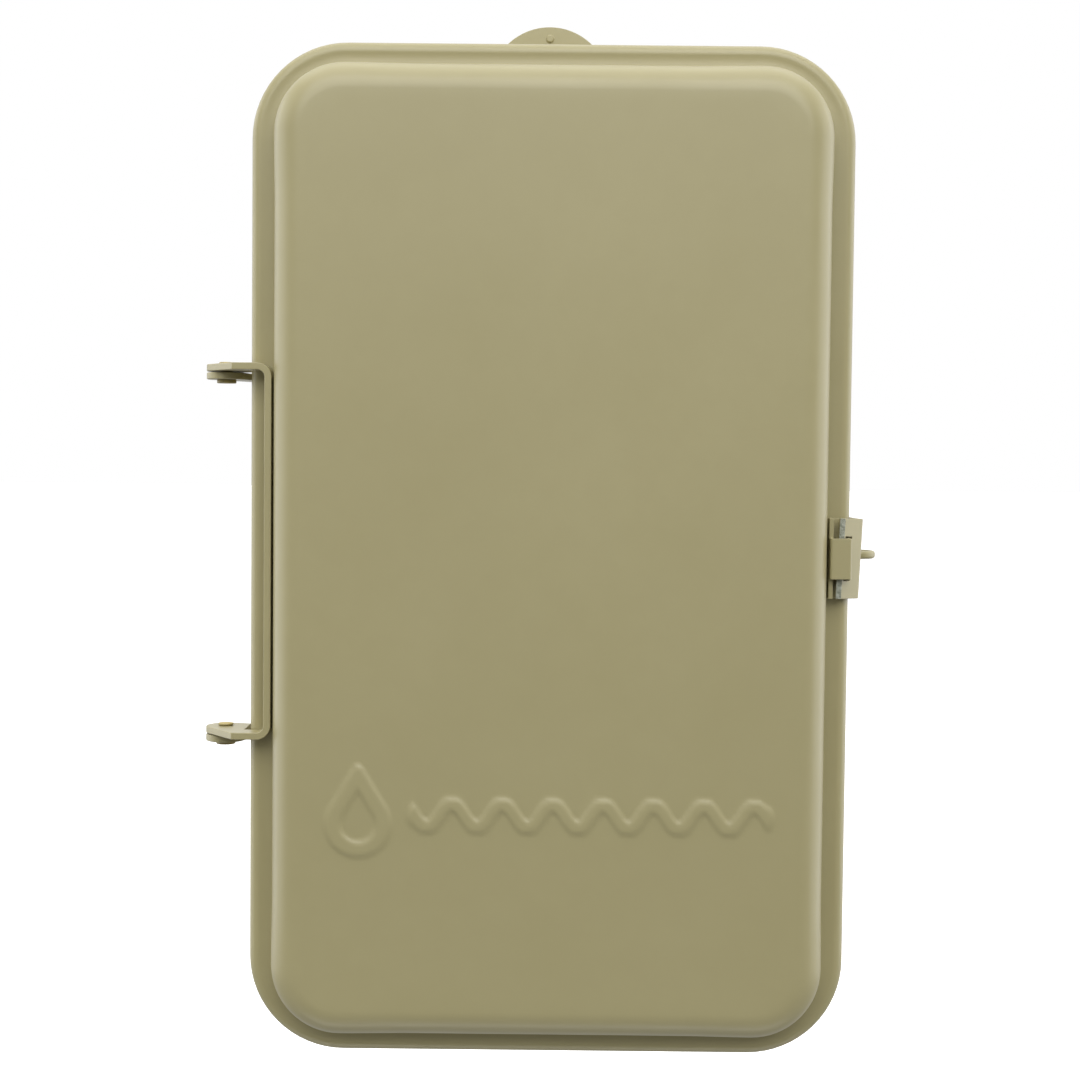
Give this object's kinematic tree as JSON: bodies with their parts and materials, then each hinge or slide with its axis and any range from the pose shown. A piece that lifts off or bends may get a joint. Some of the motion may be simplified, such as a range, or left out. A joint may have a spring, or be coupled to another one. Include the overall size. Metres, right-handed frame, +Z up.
{
  "type": "irrigation controller",
  "caption": "Wall-mounted irrigation controller: drawn steel rainproof case with hinged padlockable door over a mechanical dial clock, day wheel, switch and terminals.",
  "frame": {"origin": "centre of the case's flat back face, which lies against the wall", "axes": "+Z up, +X to the right seen from the front, +Y into the wall; the door faces -Y"},
  "size_m": [0.1872, 0.098, 0.299],
  "materials": {
    "case_paint": "semi-gloss beige enamel",
    "bare_steel": "zinc plated sheet",
    "brass": "turned brass",
    "white_print": "satin white enamel",
    "black_moulding": "phenolic",
    "red_plastic": "moulded",
    "brown_moulding": "phenolic",
    "silver_contact": "silver faced",
    "day_print": "moulded cream",
    "green_screw": "green dyed zinc",
    "lead_jacket": "wire insulation"
  },
  "bodies": {
    "case": {"case_body": "case_paint", "knockout_plugs": "case_paint", "hanging_tab": "case_paint", "case_hinge_bracket": "case_paint", "hinge_rivets": "brass", "padlock_staple": "case_paint", "mechanism_plate": "bare_steel", "chassis_screws": "bare_steel", "dial_bush": "brass", "time_pointer": "red_plastic", "motor_can": "bare_steel", "motor_nuts": "bare_steel", "day_wheel_stud": "bare_steel", "fixed_contacts": "silver_contact", "contact_block": "brown_moulding", "terminal_block": "black_moulding", "terminal_clamps": "bare_steel", "terminal_screws": "brass", "terminal_block_screws": "bare_steel", "ground_screw": "green_screw", "motor_leads": "lead_jacket"},
    "door": {"door_shell": "case_paint", "door_hinge_bracket": "case_paint", "hasp_loop": "case_paint"},
    "hasp": {"hasp_plate": "case_paint"},
    "dial": {"dial_24_hour": "white_print", "dial_arbor": "bare_steel", "dial_gear": "brass", "day_finger": "bare_steel", "dial_knob": "black_moulding", "on_trippers": "bare_steel", "off_trippers": "bare_steel", "tripper_screws": "brass"},
    "pinion": {"motor_pinion": "brass"},
    "day_wheel": {"day_wheel": "day_print", "day_pins": "brass"},
    "lever": {"switch_lever": "bare_steel", "lever_grip": "red_plastic", "lever_arbor": "bare_steel", "switch_rocker": "brown_moulding"},
    "contact_arms": {"contact_leaves": "silver_contact"}
  },
  "joints": [
    {"name": "door_hinge", "type": "hinge", "parent": "case", "child": "door", "pos_m": [-0.0894, -0.0766, 0], "axis": [0, 0, -1], "range_deg": [0, 175]},
    {"name": "hasp_swing", "type": "hinge", "parent": "door", "child": "hasp", "pos_m": [0.0784, -0.0876, -0.00035], "axis": [-0.0436, 0, -0.999], "range_deg": [0, 100]},
    {"name": "dial_turn", "type": "hinge", "parent": "case", "child": "dial", "pos_m": [-0.008, -0.06, 0.058], "axis": [0, 1, 0], "continuous": true},
    {"name": "pinion_turn", "type": "hinge", "parent": "case", "child": "pinion", "pos_m": [-0.008, -0.049, 0.0148], "axis": [0, 1, 0], "continuous": true},
    {"name": "day_wheel_turn", "type": "hinge", "parent": "case", "child": "day_wheel", "pos_m": [0.038, -0.053, 0], "axis": [0, 1, 0], "continuous": true},
    {"name": "switch_lever_turn", "type": "hinge", "parent": "case", "child": "lever", "pos_m": [-0.036, -0.056, -0.014], "axis": [0, 1, 0], "range_deg": [0, 24]},
    {"name": "contact_flex", "type": "hinge", "parent": "case", "child": "contact_arms", "pos_m": [-0.044, -0.035, -0.056], "axis": [0, 1, 0], "range_deg": [-9, 0]}
  ],
  "couplings": [
    {"joint": "pinion_turn", "follows": "dial_turn", "ratio": -8},
    {"joint": "day_wheel_turn", "follows": "dial_turn", "ratio": -0.071429},
    {"joint": "contact_flex", "follows": "switch_lever_turn", "ratio": -0.36}
  ]
}
